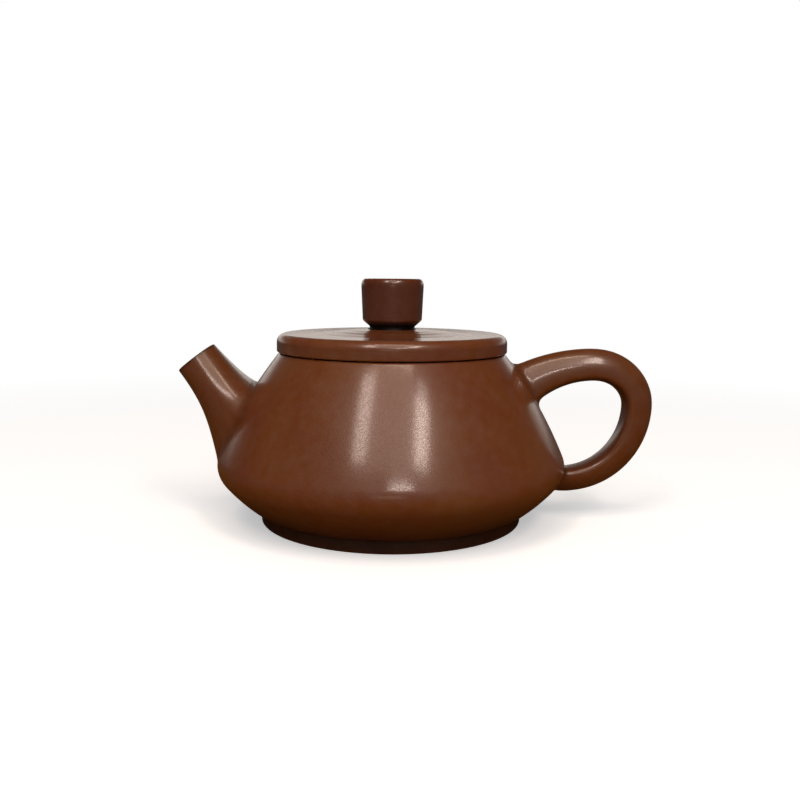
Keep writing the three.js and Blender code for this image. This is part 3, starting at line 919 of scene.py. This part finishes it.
# Strainer: a short tube in the wall, closed by a half ball that bulges into the pot and is drilled with
# rings of holes
def makeStrainer():
    radius, wall, centre = strainer["radius"], strainer["wall"], -shell["wall"]
    rim, edge, bore = -strainer["inset"], strainer["edge"], radius - wall
    outer = arc((0, centre), radius, -np.pi / 2, 0, 25)[1:]
    inner = arc((0, centre), bore, -np.pi / 2, 0, 25)[1:][::-1]
    profile = np.vstack([
        outer,
        bent((radius, rim - edge), (radius, rim), (radius - edge, rim)),
        bent((bore + edge, rim), (bore, rim), (bore, rim - edge)),
        inner,
    ])
    grid = turned(refined(profile, longest=1.0), strainer["around"])
    place, shift = np.array(strainerPlace()), np.array(potAxis)

    def placed(points):
        return ((points * millimetre) @ place[:3, :3].T + place[:3, 3] - shift) / millimetre

    poles = (placed(np.array([0, 0, centre - radius])), placed(np.array([0, 0, centre - bore])))
    piece = addPiece("strainerDome", placed(grid), "pot", ["strainer"], rawClay, poles=poles)
    pins = []
    for tilt, count in strainer["rings"]:
        for k in range(count):
            pins.append(strainerPlace(math.radians(180 - tilt), 2 * math.pi * k / count, shell["wall"]))
    pin = [(strainer["holeRadius"], radius - 2 * wall), (strainer["holeRadius"], radius + wall)]
    cutOut(piece, drumMesh("pins", pin, strainer["holeAround"], pins))


makeStrainer()
print("foot and strainer made")


lid = {
    "bottom": 50.3,
    "shoulder": 55.6,
    "crown": 1.3,
    "flat": 7.95,
    "bell": (0.6, 0.75),
    "ripple": (0.018, 4.2),
    "radius": 34.0,
    "topEdge": 2.5,
    "lowerEdge": 0.45,
    "ventRadius": 1.2,
    "flangeRadius": 26.0,
    "flangeWall": 2.6,
    "flangeDepth": 8.5,
    "flangeEdge": 0.6,
    "around": 288,
    "flangeAround": 240,
}


# Lid plate: a nearly flat ring that rises to a low bell in its middle, with faint turning marks. With s
# from 0 at the knob to 1 at the edge: shoulder + crown ((1 - part) (1 - s) + part (1 - smooth(s / reach)))
# + ripple sin(2 pi s width / pitch + 2 sin 5s), which fades at both ends. The edge is a full round, and
# the vent runs through the middle.
def makeLidPlate():
    low, shoulder, radius, vent = lid["bottom"], lid["shoulder"], lid["radius"], lid["ventRadius"]
    topEdge, lowerEdge, crown, flat = lid["topEdge"], lid["lowerEdge"], lid["crown"], lid["flat"]
    depth, pitch = lid["ripple"]
    part, reach = lid["bell"]
    slope = math.atan((1 - part) * crown / (radius - topEdge - flat))
    lower = arc((radius - lowerEdge, low + lowerEdge), lowerEdge, -np.pi / 2, 0, 8)
    upper = arc((radius - topEdge, shoulder - topEdge), topEdge, 0, np.pi / 2 - slope, 20)
    edge = upper[-1, 0]
    s = np.linspace(1, 0, 72)[1:]
    phase = 2 * np.pi * s * (edge - flat) / pitch + 2 * np.sin(5 * s)
    marks = depth * np.sin(phase) * np.clip(5 * s * (1 - s), 0, 1)
    inBell = np.clip(s / reach, 0, 1)
    bell = (1 - part) * (1 - s) + part * (1 - inBell**2 * (3 - 2 * inBell))
    dome = np.stack([flat + (edge - flat) * s, shoulder + crown * bell + marks], -1)
    profile = np.vstack([[(vent, low)], lower, upper, dome, [(vent, shoulder + crown)]])
    profile = refinedRing(profile, longest=1.6)
    grid = turned(profile, lid["around"])
    addPiece("lidPlate", grid, "lid", ["lid_plate"], burnishedClay, ring=True)


# Lid flange: a ring under the plate that keeps the lid in the mouth
def makeLidFlange():
    outer, edge, top = lid["flangeRadius"], lid["flangeEdge"], lid["bottom"] + overlap
    inner, low = outer - lid["flangeWall"], lid["bottom"] - lid["flangeDepth"]
    profile = np.vstack([
        bent((inner + edge, low), (inner, low), (inner, low + edge)),
        [(inner, top), (outer, top)],
        bent((outer, low + edge), (outer, low), (outer - edge, low)),
    ])[::-1]
    profile = refinedRing(profile, longest=1.2)
    grid = turned(profile, lid["flangeAround"])
    addPiece("lidFlange", grid, "lid", ["lid_flange"], rawClay, ring=True)


knob = {
    "height": 14.8,
    "topRadius": 9.3,
    "footRadius": 8.75,
    "topEdge": (1.6, 2.5),
    "chamferHeight": 1.8,
    "neckRadius": 6.65,
    "neckHeight": 0.8,
    "neckFlare": 0.3,
    "softening": (0.3, 0.39),
    "ventEdge": 0.4,
    # painted shade over the neck and chamfer: how far above the chamfer it reaches, and its fade
    "neckShade": (0.4, 1.6),
    "around": 192,
}


# Knob: a drum that widens upwards, on a chamfer and a hollow neck, with the vent through it
def makeKnob():
    low, vent, ventEdge = lid["shoulder"] + lid["crown"], lid["ventRadius"], knob["ventEdge"]
    top, (edgeIn, edgeDown) = low + knob["height"], knob["topEdge"]
    soft, chamferSoft = knob["softening"]
    neck, chamferLow = knob["neckRadius"], low + knob["neckHeight"]
    flared = neck + knob["neckFlare"] + soft
    chamferHigh = chamferLow + knob["chamferHeight"]
    side = np.array([knob["topRadius"] - knob["footRadius"], top - chamferHigh])
    side = side / np.hypot(*side)
    chamfer = np.array([knob["footRadius"] - neck, knob["chamferHeight"]])
    chamfer = chamfer / np.hypot(*chamfer)
    chamferFoot, chamferTop = np.array([neck, chamferLow]), np.array([knob["footRadius"], chamferHigh])
    topCorner = np.array([knob["topRadius"], top])
    profile = np.vstack([
        [(vent, low - overlap), (flared, low - overlap)],
        bent((flared, low + overlap), (neck, low + 2 * overlap), (neck, low + 0.4)),
        bent((neck, chamferLow - soft), chamferFoot, chamferFoot + soft * chamfer),
        bent(chamferTop - chamferSoft * chamfer, chamferTop, chamferTop + chamferSoft * side),
        bent(topCorner - edgeDown * side, topCorner, (knob["topRadius"] - edgeIn, top), 18),
        bent((vent + ventEdge, top), (vent, top), (vent, top - ventEdge)),
    ])
    profile = refinedRing(profile, longest=0.8)
    # painted shade over the neck and chamfer, fading out above the chamfer, kept out of the vent
    darkAbove, darkFade = knob["neckShade"]
    inNeck = np.clip((chamferHigh + darkAbove - profile[:, 1]) / darkFade, 0, 1) * (profile[:, 0] > vent + 1)
    grid, paintedShade = turned(profile, knob["around"]), np.repeat(inNeck[:, None], knob["around"], 1)
    addPiece("knobDrum", grid, "lid", ["knob"], knobClay, ring=True, paintedShade=paintedShade)


makeLidPlate()
makeLidFlange()
makeKnob()
print("lid and knob made")

# The lamps lie in one plane that faces the pot from above and in front, as a window does: dim panes
# between brighter side bars. Each has its lower and upper end and its width, in parts of the window's
# distance, and its radiance.
studio = {
    "floorSize": 8.0,
    "floorSeen": (0.87, 0.9, 0.92),
    "floorBounce": (0.14, 0.05, 0.007),
    "floorLift": 0.4,
    "floorFarMirrored": 0.05,
    "floorFade": (0.1, 0.45),
    "fillFront": 1.07,
    "fillBack": 0.22,
    "fillAim": (0, -0.958, -0.287),
    "frontReflection": 0.04,
    "backReflection": 1.12,
    "backdrop": (0.55, 0.97),
    "horizon": (0.0, 0.1),
    "backdropTop": (0.15, 0.28),
    "backdropDim": 0.12,
    "backTint": (1.0, 0.95, 0.88),
    "windowAim": 0.035,
    "windowDistance": 0.7,
    "windowRise": 50.0,
    "barTint": (1.0, 0.82, 0.72),
    "paneTint": (1.0, 0.76, 0.59),
    "lamps": {
        "leftBar": ((-0.342, -0.205), (-0.255, 0.3), 0.155, 8.7),
        "rightBar": ((0.32, -0.235), (0.345, 0.17), 0.15, 12.6),
        "rightBarTop": ((0.345, 0.17), (0.37, 0.28), 0.11, 5.3),
        "innerPane": ((0.0, -0.277), (0.0, 0.36), 0.515, 1.35),
        "upperPane": ((0.0, 0.36), (0.03, 0.484), 0.495, 6.8),
        "frontPane": ((0.0, -1.15), (0.0, -0.78), 0.4, 1.0),
        "lowSpot": ((0.115, -0.385), (0.115, -0.362), 0.24, 42.0),
    },
}


# Floor: pale to the camera with the pot's shadow on it, running out into the white backdrop. It throws
# little light back up, and that light is warm.
def makeFloor():
    half = studio["floorSize"] / 2
    corners = [(-half, -half, 0), (half, -half, 0), (half, half, 0), (-half, half, 0)]
    mesh = bpy.data.meshes.new("floor")
    mesh.from_pydata(corners, [], [(0, 1, 2, 3)])
    floor = addObject("floor", mesh)
    finish = bpy.data.materials.new("paleFloor")
    finish.use_nodes = True
    add, join, mathNode, ranged, mixed = treeTools(finish.node_tree)
    shader = finish.node_tree.nodes["Principled BSDF"]
    setInputs(shader, {"Roughness": 0.9, "Specular IOR Level": 0.0, "Emission Color": (1, 1, 1, 1)})
    rays = add("ShaderNodeLightPath").outputs
    reach = mathNode("LENGTH", add("ShaderNodeTexCoord").outputs["Object"], kind="VectorMath")
    far = ranged(reach, *studio["floorFade"], 0, 1, smooth=True)
    near = mixed("RGBA", rays["Is Camera Ray"], (*studio["floorBounce"], 1), (*studio["floorSeen"], 1))
    join(mixed("RGBA", far, near, (0, 0, 0, 1)), shader.inputs["Base Color"])
    seen = mathNode("MAXIMUM", rays["Is Camera Ray"], rays["Is Transmission Ray"])
    mirrored = mathNode("MULTIPLY", rays["Is Glossy Ray"], studio["floorFarMirrored"])
    lift = mathNode("MULTIPLY", rays["Is Camera Ray"], studio["floorLift"])
    glow = mixed("FLOAT", far, lift, mathNode("MAXIMUM", seen, mirrored))
    join(glow, shader.inputs["Emission Strength"])
    mesh.materials.append(finish)


makeFloor()


# World: white to the camera. In reflections it is bright behind the object, in a band above a dark
# horizon, and dim in front of it. For diffuse light it is a soft fill that comes mostly from the front.
def makeWorld():
    world = bpy.data.worlds.new("studio")
    bpy.context.scene.world = world
    world.use_nodes = True
    world.cycles.sampling_method = "NONE"
    add, join, mathNode, ranged, mixed = treeTools(world.node_tree)
    background = world.node_tree.nodes["Background"]
    rays = add("ShaderNodeLightPath").outputs
    seen = mathNode("MAXIMUM", rays["Is Camera Ray"], rays["Is Transmission Ray"])
    direction = add("ShaderNodeTexCoord").outputs["Generated"]
    split = add("ShaderNodeSeparateXYZ")
    join(direction, split.inputs[0])
    back, dim = studio["backReflection"], studio["backdropDim"]
    behind = ranged(split.outputs["Y"], *studio["backdrop"], studio["frontReflection"], back, smooth=True)
    above = ranged(split.outputs["Z"], *studio["horizon"], dim, 1, smooth=True)
    higher = ranged(split.outputs["Z"], *studio["backdropTop"], 1, dim, smooth=True)
    mirrored = mathNode("MULTIPLY", behind, mathNode("MULTIPLY", above, higher))
    facing = mathNode("DOT_PRODUCT", direction, studio["fillAim"], kind="VectorMath")
    fill = ranged(facing, 0, 1, studio["fillBack"], studio["fillFront"])
    strength = mixed("FLOAT", rays["Is Glossy Ray"], fill, mirrored)
    join(mathNode("MAXIMUM", seen, strength), background.inputs["Strength"])
    tint = mixed("RGBA", rays["Is Glossy Ray"], (1, 1, 1, 1), (*studio["backTint"], 1))
    join(tint, background.inputs["Color"])


makeWorld()


# A rectangular lamp in the window's plane, from its lower end to its upper end, hidden from the camera
def addLamp(name, lower, upper, width, radiance):
    rise, distance = math.radians(studio["windowRise"]), studio["windowDistance"]
    right = Vector((1, 0, 0))
    outward = Vector((0, -math.cos(rise), math.sin(rise)))
    above = Vector((0, math.sin(rise), math.cos(rise)))
    low, high = (distance * (right * end[0] + above * end[1]) for end in (lower, upper))
    lengthwise = (high - low).normalized()
    size = (width * distance, (high - low).length)
    light = bpy.data.lights.new(name, "AREA")
    light.shape = "RECTANGLE"
    light.size, light.size_y = size
    light.energy = radiance * math.pi * size[0] * size[1]
    light.color = studio["paneTint" if name.endswith("Pane") else "barTint"]
    lamp = addObject(name, light)
    centre = potAxis + Vector((0, 0, studio["windowAim"])) + outward * distance + (low + high) / 2
    turn = Matrix((lengthwise.cross(outward), lengthwise, outward)).transposed().to_4x4()
    lamp.matrix_world = Matrix.Translation(centre) @ turn
    lamp.visible_camera = False


for lampName, lampValues in studio["lamps"].items():
    addLamp(lampName, *lampValues)


camera = {
    "place": (2.494, -261.6, 72.29),
    "lookDown": 7.883,
    "roll": 0.516,
    "lens": 39.6,
    "sensor": 36.0,
}


def makeCamera():
    data = bpy.data.cameras.new("camera")
    data.lens, data.sensor_width = camera["lens"], camera["sensor"]
    data.clip_start, data.clip_end = 0.01, 50
    seen = addObject("camera", data)
    seen.location = Vector(camera["place"]) * millimetre + potAxis
    tilt = Matrix.Rotation(math.radians(90 - camera["lookDown"]), 4, "X")
    roll = Matrix.Rotation(math.radians(camera["roll"]), 4, "Z")
    seen.rotation_mode = "QUATERNION"
    seen.rotation_quaternion = (tilt @ roll).to_quaternion()
    bpy.context.scene.camera = seen


makeCamera()
bpy.context.scene.view_settings.view_transform = "Standard"
print("camera, floor and lamps made")
